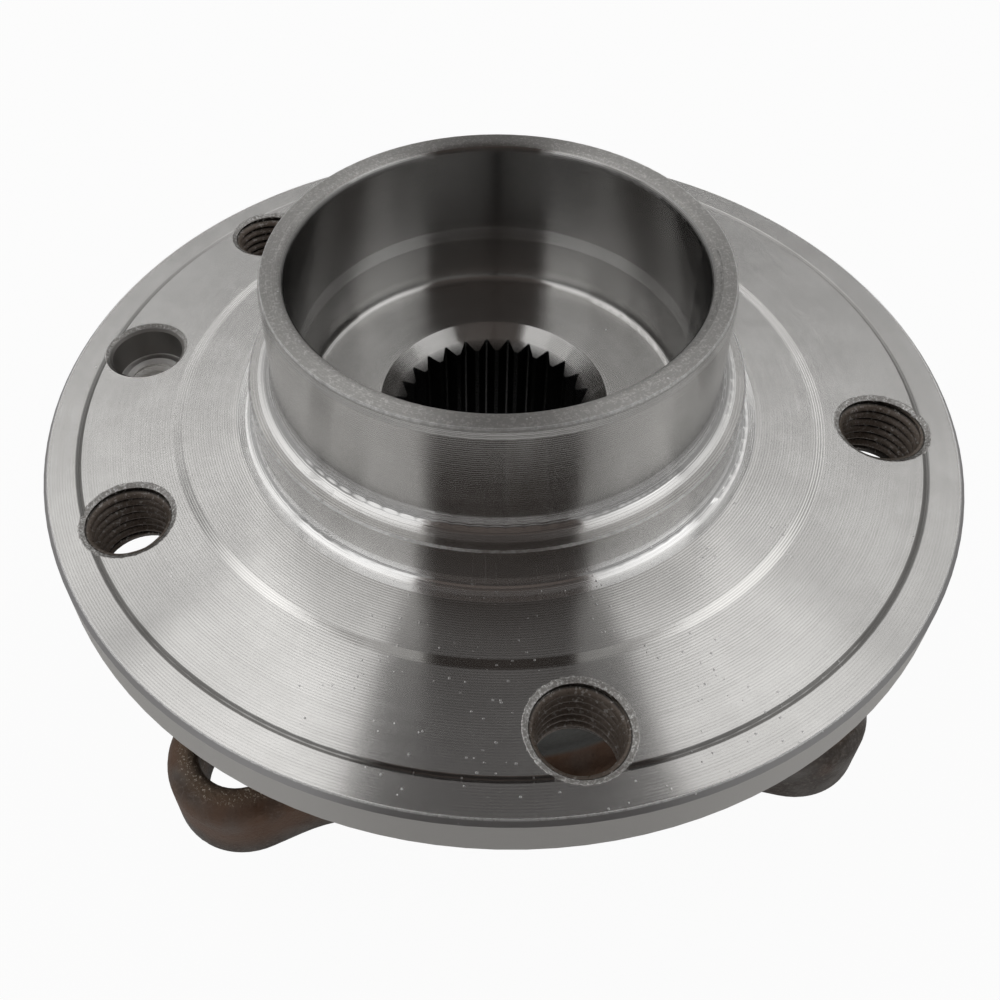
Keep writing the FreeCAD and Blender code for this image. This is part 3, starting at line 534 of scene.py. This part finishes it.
# Painted highlight: a lighter brown ring round each ear's hole, with bright flecks in it.
bead_highlight = 0.0
for ear in ("left", "right", "back"):
    middle = Vector(mounts["knuckle_bolt_" + ear]["pos_m"]) / MM
    offset = vector_calc(tree, "DISTANCE", spot, (middle.x, middle.y, EAR_TOP))["Value"]
    bead_highlight = most(tree, bead_highlight, band(tree, offset, 6.9, 9.6, 0.9))
bead_glints = times(tree, bead_highlight, spread(tree, noise(tree, spot, 2.2, 4.0, 0.8), 0.56, 0.66))
barrel = times(tree, spread(tree, radius, 42.6, 42.1), spread(tree, level_z, EAR_TOP, -36.0))
outboard_end = times(tree, spread(tree, radius, 42.05, 41.5), spread(tree, level_z, -16.5, -15.7))
cut = most(tree, spread(tree, level_z, *EAR_SEAT), outboard_end, spread(tree, radius, 40.5, 40.0))

# %% Forged outer ring: finish
scale = blend_colours(tree, spread(tree, clouds, 0.35, 0.65), (0.085, 0.07, 0.06), (0.19, 0.18, 0.17))
scale = layered(tree, scale, [
    (spread(tree, grains, 0.45, 0.75), (0.25, 0.22, 0.20)),
    (times(tree, rust, 0.75), (0.20, 0.105, 0.06)),
    # painted highlight round the ear holes, in this line and the next
    (times(tree, bead_highlight, 0.7), (0.17, 0.115, 0.075)),
    (bead_glints, (0.75, 0.66, 0.56)),
    (barrel, (0.16, 0.165, 0.16)),
    (cut, (0.56, 0.555, 0.55)),
])
tree.links.new(scale, shader.inputs["Base Color"])
tree.links.new(most(tree, cut, times_plus(tree, grains, 0.35, 0.45)), shader.inputs["Metallic"])
tree.links.new(times_plus(tree, cut, -0.22, times_plus(tree, grains, 0.25, 0.38)), shader.inputs["Roughness"])
lumps = times_plus(tree, clouds, 1.5, times_plus(tree, spread(tree, pits, 0.0, 0.4), 0.25, grains))
lumps = times(tree, lumps, less(tree, 1.0, cut))
bumped(tree, shader, lumps, 0.7, 0.00025)
print("forging nodes:", len(tree.nodes))


# %% [markdown]
# ## Hidden pieces
# The inner ring, the balls, the cages and the seals only show from below or when the model is
# taken apart. Each still gets its own finish: ground races, polished balls, moulded cages, pressed
# sheet and rubber.

# %% Finishes of the hidden pieces
def ground_metal(name, colour, low, high, marks=3.0):
    """Ground or pressed steel: fine random marks in colour and roughness."""
    material, tree, shader = new_material(name)
    spot, radius, level_z = places(tree)
    fine = ring_noise(tree, radius, level_z, marks)
    soft = times(tree, noise(tree, spot, 0.3), 0.35)
    shade = blend_colours(tree, soft, colour, [0.72 * part for part in colour])
    tree.links.new(shade, shader.inputs["Base Color"])
    shader.inputs["Metallic"].default_value = 1.0
    tree.links.new(spread(tree, fine, 0.2, 0.8, low, high), shader.inputs["Roughness"])
    bumped(tree, shader, fine, 0.15, 0.00002)
    return material


def moulded(name, colour, roughness, grain, depth):
    """Moulded plastic or rubber: a fine grain and a slight change of shade."""
    material, tree, shader = new_material(name)
    spot = places(tree)[0]
    fine = noise(tree, spot, grain, 4.0)
    shade = blend_colours(tree, noise(tree, spot, 0.2), colour, [1.5 * part for part in colour])
    tree.links.new(shade, shader.inputs["Base Color"])
    tree.links.new(spread(tree, fine, 0.3, 0.7, roughness - 0.08, roughness + 0.08), shader.inputs["Roughness"])
    bumped(tree, shader, fine, 0.4, depth)
    return material


finishes = {
    "turned_steel": turned_steel,
    "forging": forging,
    "bearing_steel": ground_metal("bearing_steel", (0.66, 0.66, 0.66), 0.16, 0.26),
    "ball_steel": ground_metal("ball_steel", (0.75, 0.75, 0.76), 0.05, 0.09, marks=1.2),
    "seal_steel": ground_metal("seal_steel", (0.55, 0.55, 0.56), 0.28, 0.40),
    "cage_plastic": moulded("cage_plastic", (0.10, 0.09, 0.08), 0.48, 3.0, 0.00005),
    "seal_rubber": moulded("seal_rubber", (0.03, 0.03, 0.03), 0.62, 4.0, 0.00004),
    "encoder_rubber": moulded("encoder_rubber", (0.055, 0.05, 0.048), 0.55, 6.0, 0.00003),
}
for part in frame["record"]["subparts"]:
    item = nodes[part["node"]]
    item.data.materials.clear()
    item.data.materials.append(finishes[part["material_slot"]])

# %% [markdown]
# ## Threads
# A thread is one ridge that climbs the wall of its hole. The solids have plain holes at the
# thread's largest radius, so the ridge is added here. Geometry Nodes draw it: a line is bent into
# a helix, its ends run out into the wall, and a diamond is swept along it. Half the diamond is
# buried in the metal, and the other half is the ridge.

# %% Cut thread
# The wheel-bolt threads are brown, with painted shade that makes their root nearly black. The disc-screw thread is
# painted near white, a painted highlight in its dim hole.
ROOT, NEAR_BOLT = (5.70, 5.88), (12.0, 11.0)
cut_thread, tree, shader = new_material("cut_thread")
spot, radius = places(tree)[:2]
bolt_away = from_holes(tree, spot, radius)[0]
near_bolt = spread(tree, bolt_away, *NEAR_BOLT)
# Painted shade: the root of the wheel-bolt threads is darkened nearly to black.
root_shade = times(tree, spread(tree, bolt_away, *ROOT), near_bolt)
torn = noise(tree, spot, 1.8, 5.0, 0.7)
# The disc-screw thread is painted near white: a painted highlight in its dim hole.
metal = blend_colours(tree, near_bolt, (1.0, 0.99, 0.97), (0.19, 0.155, 0.13))
metal = layered(tree, metal, [
    (root_shade, (0.045, 0.038, 0.032)),
    (times(tree, spread(tree, torn, 0.55, 0.66), 0.55), (0.80, 0.78, 0.76)),
])
tree.links.new(metal, shader.inputs["Base Color"])
tree.links.new(times(tree, near_bolt, 0.3), shader.inputs["Metallic"])
tree.links.new(spread(tree, torn, 0.3, 0.7, 0.25, 0.40), shader.inputs["Roughness"])
bumped(tree, shader, torn, 0.8, 0.00012)
print("cut thread nodes:", len(tree.nodes))


# %% Helpers for Geometry Nodes
def geometry_tree(name, sizes):
    """A tree with named number inputs and one geometry output."""
    tree = bpy.data.node_groups.new(name, "GeometryNodeTree")
    tree.interface.new_socket("Geometry", in_out="OUTPUT", socket_type="NodeSocketGeometry")
    for label, value in sizes.items():
        kind = "NodeSocketInt" if isinstance(value, int) else "NodeSocketFloat"
        tree.interface.new_socket(label, in_out="INPUT", socket_type=kind).default_value = value
    return tree, add(tree, "NodeGroupInput").outputs


def plain_mesh(name, tree, sizes, material, body):
    """Runs a tree with its sizes and keeps the result as a plain mesh that rides on a body."""
    holder = bpy.data.objects.new(name + "_maker", bpy.data.meshes.new(name + "_maker"))
    bpy.context.scene.collection.objects.link(holder)
    modifier = holder.modifiers.new("maker", "NODES")
    modifier.node_group = tree
    for item in tree.interface.items_tree:
        if item.item_type == "SOCKET" and item.in_out == "INPUT" and item.name in sizes:
            modifier[item.identifier] = sizes[item.name]
    graph = bpy.context.evaluated_depsgraph_get()
    mesh = bpy.data.meshes.new_from_object(holder.evaluated_get(graph))
    bpy.data.objects.remove(holder)
    mesh.name = name
    mesh.materials.clear()
    mesh.materials.append(material)
    piece = bpy.data.objects.new(name, mesh)
    bpy.context.scene.collection.objects.link(piece)
    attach(piece, body)
    print(name, "has", len(mesh.polygons), "faces")


# %% Thread tree
RUN_OUT = 1.6            # the ends fade into the wall over 1 / 1.6 of a turn
HALF_DIAMOND = 0.54      # half the height of the diamond, as a share of the pitch
CREST_ROUND = 0.12       # rounding of the crest, as a share of the ridge
LID_GAP, CONE_GAP, BURIED = 0.02 * MM, 0.04 * MM, 0.1 * MM


def helix_curve(tree, size, do):
    """A helix that starts at the top and goes down, with both ends run out into the wall."""
    line = add(tree, "GeometryNodeCurvePrimitiveLine", {"End": (0, 0, 1)}).outputs[0]
    line = add(tree, "GeometryNodeResampleCurve", {"Curve": line, "Count": size["Steps"]}).outputs[0]
    along = do("MULTIPLY", add(tree, "GeometryNodeSplineParameter").outputs["Factor"], size["Turns"])
    left = do("SUBTRACT", size["Turns"], along)
    run_in = do("MINIMUM", do("MINIMUM", do("MULTIPLY", along, RUN_OUT), do("MULTIPLY", left, RUN_OUT)), 1.0)
    radius = do("ADD", size["Wall"], do("MULTIPLY", do("SUBTRACT", 1.0, run_in), size["Ridge"]))
    angle = do("MULTIPLY", along, math.tau)
    point = add(tree, "ShaderNodeCombineXYZ", {
        0: do("MULTIPLY", do("COSINE", angle), radius),
        1: do("MULTIPLY", do("MULTIPLY", do("SINE", angle), radius), -1.0),
        2: do("SUBTRACT", size["Top"], do("MULTIPLY", along, size["Pitch"]))}).outputs[0]
    helix = add(tree, "GeometryNodeSetPosition", {"Geometry": line, "Position": point}).outputs[0]
    return add(tree, "GeometryNodeSetCurveNormal", {"Curve": helix}, mode="Z_UP").outputs[0]


def swept_diamond(tree, size, do, helix):
    """A diamond with slightly rounded corners, swept along the helix."""
    diamond = add(tree, "GeometryNodeCurvePrimitiveCircle", {"Resolution": 4, "Radius": 1.0}).outputs[0]
    shape = add(tree, "ShaderNodeCombineXYZ", {0: size["Ridge"], 1: do("MULTIPLY", size["Pitch"], HALF_DIAMOND),
                                               2: 1.0}).outputs[0]
    diamond = add(tree, "GeometryNodeTransform", {"Geometry": diamond, "Scale": shape}).outputs[0]
    diamond = add(tree, "GeometryNodeFilletCurve", {0: diamond, "Radius": do("MULTIPLY", size["Ridge"], CREST_ROUND)},
                  mode="POLY").outputs[0]
    return add(tree, "GeometryNodeCurveToMesh", {"Curve": helix, "Profile Curve": diamond,
                                                 "Fill Caps": True}).outputs[0]


def trimmed_ridge(tree, size, do, ridge):
    """The ridge pressed back into the metal where it would stand out of the countersink or the wall."""
    parts = add(tree, "ShaderNodeSeparateXYZ", {0: add(tree, "GeometryNodeInputPosition").outputs[0]}).outputs
    away = length(tree, parts[0], parts[1])
    drop = do("MULTIPLY", do("SUBTRACT", size["Mouth"], size["Wall"]), size["Slope"])
    lid = do("SUBTRACT", do("SUBTRACT", size["Face"], drop), LID_GAP)
    lowered = do("MINIMUM", parts[2], lid)
    cone = do("SUBTRACT", do("ADD", size["Mouth"], CONE_GAP), do("DIVIDE", do("SUBTRACT", size["Face"], lowered),
                                                                 size["Slope"]))
    kept = do("MAXIMUM", do("MINIMUM", away, do("ADD", size["Wall"], BURIED)), cone)
    outwards = do("DIVIDE", kept, away)
    place = add(tree, "ShaderNodeCombineXYZ", {0: do("MULTIPLY", parts[0], outwards),
                                               1: do("MULTIPLY", parts[1], outwards), 2: lowered}).outputs[0]
    return add(tree, "GeometryNodeSetPosition", {"Geometry": ridge, "Position": place}).outputs[0]


def thread_tree():
    """A swept ridge in each of a ring of holes, cut off at the countersink of the hole."""
    tree, size = geometry_tree("threads", {
        "Holes": 5, "Circle": 0.057, "First": 0.0, "Wall": 0.006, "Ridge": 0.0008, "Pitch": 0.0015, "Turns": 7.0,
        "Top": 0.0, "Face": 0.0, "Mouth": 0.00665, "Slope": 0.577, "Steps": 600})
    def do(operation, first, second=0.0):
        return calc(tree, operation, first, second)
    ridge = trimmed_ridge(tree, size, do, swept_diamond(tree, size, do, helix_curve(tree, size, do)))
    number = add(tree, "GeometryNodeInputIndex").outputs[0]
    turn = do("ADD", do("MULTIPLY", number, do("DIVIDE", math.tau, size["Holes"])), size["First"])
    centre = add(tree, "ShaderNodeCombineXYZ", {0: do("MULTIPLY", do("COSINE", turn), size["Circle"]),
                                                1: do("MULTIPLY", do("SINE", turn), size["Circle"])}).outputs[0]
    ring = add(tree, "GeometryNodeMeshLine", {"Count": size["Holes"]}).outputs[0]
    ring = add(tree, "GeometryNodeSetPosition", {"Geometry": ring, "Position": centre}).outputs[0]
    threads = add(tree, "GeometryNodeInstanceOnPoints", {"Points": ring, "Instance": ridge}).outputs[0]
    threads = add(tree, "GeometryNodeRealizeInstances", {"Geometry": threads}).outputs[0]
    threads = add(tree, "GeometryNodeSetMaterial", {"Geometry": threads, "Material": cut_thread}).outputs[0]
    add(tree, "NodeGroupOutput", {0: threads})
    return tree


threads = thread_tree()
print("thread tree nodes:", len(threads.nodes))

# %% Threads of the wheel-bolt holes
# M12 x 1.5. The slope is the tangent of the countersink's 30 degrees.
plain_mesh("bolt_threads", threads, {
    "Holes": bolts["count"], "Circle": bolts["pcd_mm"] / 2 * MM, "First": BOLT_TURN,
    "Wall": bolts["hole_r_mm"] * MM, "Ridge": 0.85 * MM, "Pitch": 1.5 * MM, "Turns": 8.0, "Top": 0.9 * MM,
    "Face": 0.0, "Mouth": 6.65 * MM, "Slope": 0.577, "Steps": 700}, cut_thread, "hub")

# %% Thread of the disc-screw hole
# M8 x 1.25, at the foot of its counterbore.
plain_mesh("screw_thread", threads, {
    "Holes": 1, "Circle": screw_place.xy.length, "First": math.atan2(screw_place.y, screw_place.x),
    "Wall": screw["dims"]["r_mm"] * MM, "Ridge": 0.7 * MM, "Pitch": 1.25 * MM, "Turns": 4.6, "Top": -5.6 * MM,
    "Face": -6.0 * MM, "Mouth": 4.6 * MM, "Slope": 1.0, "Steps": 300}, cut_thread, "hub")

# %% Print the box of the model
print("CAD box in mm:", [round(v / MM, 2) for v in (*cad_low, *cad_high)])

# %% Finish
bpy.context.scene.view_settings.view_transform = "Standard"
